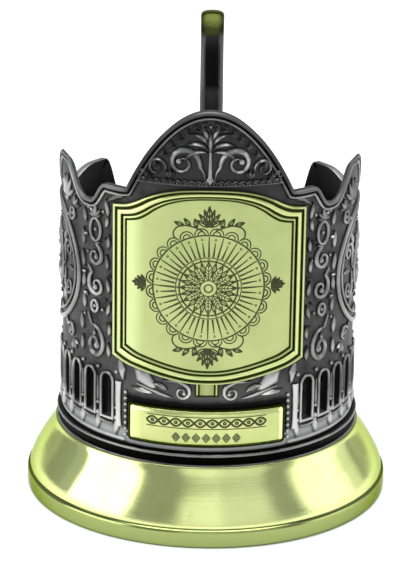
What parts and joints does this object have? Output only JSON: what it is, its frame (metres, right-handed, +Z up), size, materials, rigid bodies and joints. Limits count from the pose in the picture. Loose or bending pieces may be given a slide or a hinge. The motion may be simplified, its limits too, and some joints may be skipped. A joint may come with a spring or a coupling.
{
  "type": "tea glass holder",
  "caption": "Footed metal holder for a tea glass: pierced round sleeve with a tall arched front, shield plate, name plate, spun foot and a loop handle with a thumb rest.",
  "frame": {"origin": "centre of the circle on which the foot stands", "axes": "+Z up along the sleeve's axis, -Y towards the front with the crest and the plates, +Y towards the handle"},
  "size_m": [0.0872, 0.1088, 0.103],
  "materials": {
    "polished_foot": "spun brass, polished, with fine turning lines and light tarnish",
    "blackened_collar": "turned brass, blackened, rubbed bright on the bead",
    "blackened_sleeve": "cast brass with a silvered and blackened finish, rubbed bright on the relief",
    "blackened_floor": "sheet brass, blackened",
    "steel_fasteners": "plain steel",
    "gilded_plate": "gilded, with a dark-lined engraving",
    "gilded_name_plate": "gilded, polished, with a dark step round its edge",
    "blackened_handle": "cast brass, blackened, rubbed at the thumb rest",
    "blackened_rivets": "domed rivets, blackened"
  },
  "bodies": {
    "root": {"foot": "polished_foot", "collar_ring": "blackened_collar", "sleeve": "blackened_sleeve", "floor_disc": "blackened_floor", "foot_screw": "steel_fasteners", "foot_washer": "steel_fasteners", "foot_nut": "steel_fasteners", "cartouche_plate": "gilded_plate", "cartouche_pins": "gilded_plate", "name_plate": "gilded_name_plate", "name_plate_pins": "gilded_name_plate", "handle": "blackened_handle", "handle_rivets": "blackened_rivets"}
  },
  "joints": []
}
